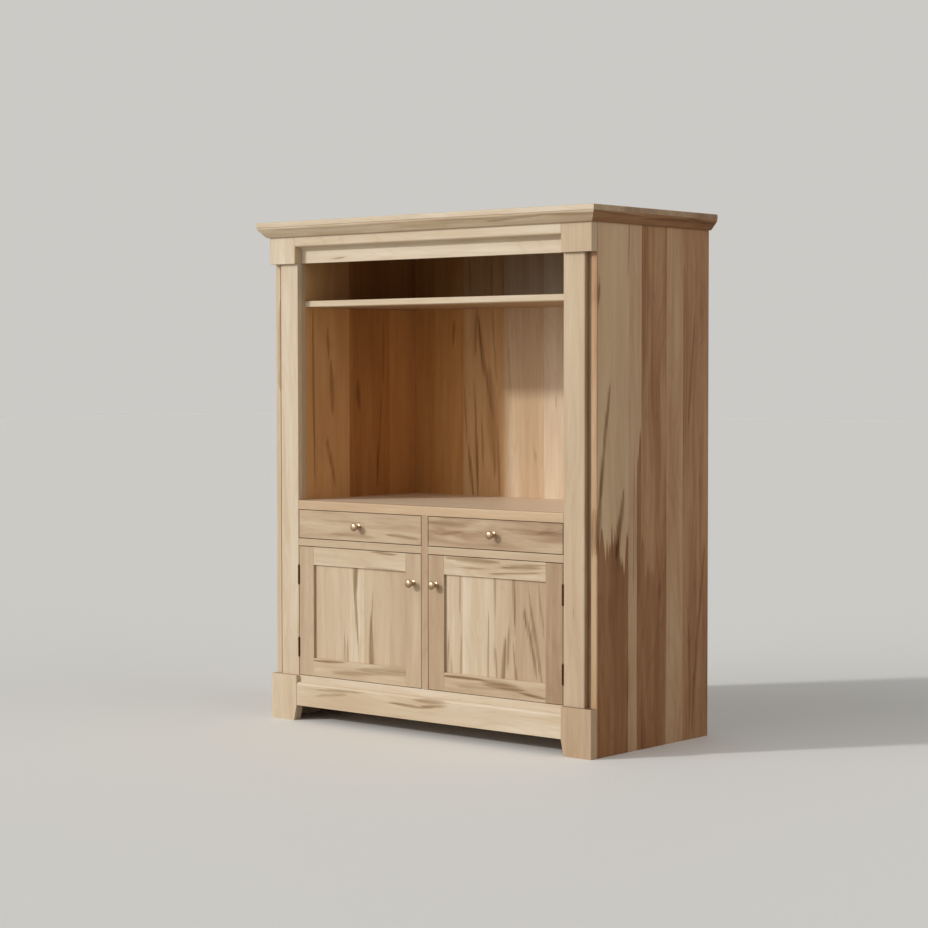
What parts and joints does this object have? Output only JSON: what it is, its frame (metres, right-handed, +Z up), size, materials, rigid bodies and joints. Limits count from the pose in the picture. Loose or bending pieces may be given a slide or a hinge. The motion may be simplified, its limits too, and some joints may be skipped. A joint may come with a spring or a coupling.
{
  "type": "entertainment center",
  "caption": "Tall wooden entertainment center: an open, crowned bay with a shelf, over drawers and frame-and-panel doors, set between pilasters on block feet.",
  "frame": {"origin": "on the floor, at the middle of the whole piece's width and depth", "axes": "+X to the viewer's right when facing the doors, +Y from the front to the back, +Z up"},
  "size_m": [1.321, 0.6048, 1.55],
  "materials": {
    "maple_front": "pale spalted maple under a satin varnish",
    "maple_crown": "spalted maple moulding under a satin varnish",
    "maple_side": "glued-up spalted maple boards under a satin varnish",
    "maple_case": "spalted maple interior boards under a satin varnish",
    "maple_door": "spalted maple frames and drawer fronts under a satin varnish",
    "maple_panel": "pale spalted maple door panels under a satin varnish",
    "drawer_wood": "sanded maple, thinly sealed",
    "brass": "polished and lacquered",
    "bronze": "darkened to a bronze tone",
    "catch_steel": "plain satin"
  },
  "bodies": {
    "case": {"back_panel": "maple_case", "base_rail": "maple_front", "cabinet_floor": "maple_case", "centre_partition": "maple_case", "centre_stile": "maple_front", "door_catch": "catch_steel", "frieze_board": "maple_front", "front_crown_moulding": "maple_crown", "left_corner_block": "maple_front", "left_crown_moulding": "maple_crown", "left_cupboard_shelf": "maple_case", "left_dust_panel": "maple_case", "left_frame_stile": "maple_case", "left_inner_wall": "maple_case", "left_lower_hinge_case_leaf": "bronze", "left_pilaster": "maple_front", "left_plinth_block": "maple_front", "left_side_panel": "maple_side", "left_upper_hinge_case_leaf": "bronze", "mid_rail": "maple_front", "right_corner_block": "maple_front", "right_crown_moulding": "maple_crown", "right_cupboard_shelf": "maple_case", "right_dust_panel": "maple_case", "right_frame_stile": "maple_case", "right_inner_wall": "maple_case", "right_lower_hinge_case_leaf": "bronze", "right_pilaster": "maple_front", "right_plinth_block": "maple_front", "right_side_panel": "maple_side", "right_upper_hinge_case_leaf": "bronze", "sill_rail": "maple_front", "top_board": "maple_front", "top_rail": "maple_front", "tv_deck": "maple_front", "upper_shelf": "maple_front"},
    "left_door": {"left_door_hinge_stile": "maple_door", "left_door_latch_stile": "maple_door", "left_door_top_rail": "maple_door", "left_door_bottom_rail": "maple_door", "left_door_panel": "maple_panel", "left_door_knob": "brass", "left_lower_hinge_door_leaf": "bronze", "left_upper_hinge_door_leaf": "bronze"},
    "left_drawer": {"left_drawer_front": "maple_door", "left_drawer_box": "drawer_wood", "left_drawer_bottom": "drawer_wood", "left_drawer_knob": "brass"},
    "right_door": {"right_door_hinge_stile": "maple_door", "right_door_latch_stile": "maple_door", "right_door_top_rail": "maple_door", "right_door_bottom_rail": "maple_door", "right_door_panel": "maple_panel", "right_door_knob": "brass", "right_lower_hinge_door_leaf": "bronze", "right_upper_hinge_door_leaf": "bronze"},
    "right_drawer": {"right_drawer_front": "maple_door", "right_drawer_box": "drawer_wood", "right_drawer_bottom": "drawer_wood", "right_drawer_knob": "brass"}
  },
  "joints": [
    {"name": "left_door_hinge", "type": "hinge", "parent": "case", "child": "left_door", "pos_m": [-0.52075, -0.26015, 0.34425], "axis": [0, 0, -1], "range_deg": [0, 115]},
    {"name": "right_door_hinge", "type": "hinge", "parent": "case", "child": "right_door", "pos_m": [0.52075, -0.26015, 0.34425], "axis": [0, 0, 1], "range_deg": [0, 115]},
    {"name": "left_drawer_slide", "type": "slide", "parent": "case", "child": "left_drawer", "axis": [0, -1, 0], "range_m": [0, 0.33]},
    {"name": "right_drawer_slide", "type": "slide", "parent": "case", "child": "right_drawer", "axis": [0, -1, 0], "range_m": [0, 0.33]}
  ]
}
